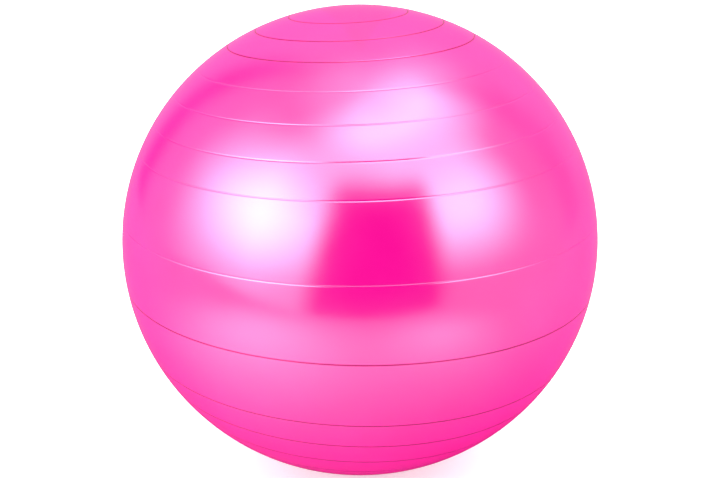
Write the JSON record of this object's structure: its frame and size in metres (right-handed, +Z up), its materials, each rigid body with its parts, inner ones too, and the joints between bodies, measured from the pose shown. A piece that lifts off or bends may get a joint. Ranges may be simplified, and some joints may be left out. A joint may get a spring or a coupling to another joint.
{
  "type": "exercise ball",
  "caption": "Inflated exercise ball with fine grooves round it, a thin soft skin resting on a small flattened patch, with a push-in stopper in its valve.",
  "frame": {"origin": "middle of the flattened patch that the ball rests on", "axes": "+Z up through the ball's two poles, which the grooves circle; +Y out of the valve; -Y is the side seen first, with the valve at the back"},
  "size_m": [0.65, 0.6504, 0.6399],
  "materials": {
    "skin": "satin",
    "valve_seat": "satin",
    "stopper": "satin"
  },
  "bodies": {
    "ball": {"ball_skin": "skin", "valve_insert": "valve_seat"},
    "plug": {"valve_plug": "stopper"}
  },
  "joints": [
    {"name": "plug_pull", "type": "slide", "parent": "ball", "child": "plug", "axis": [0, 1, 0], "range_m": [0, 0.03]}
  ]
}
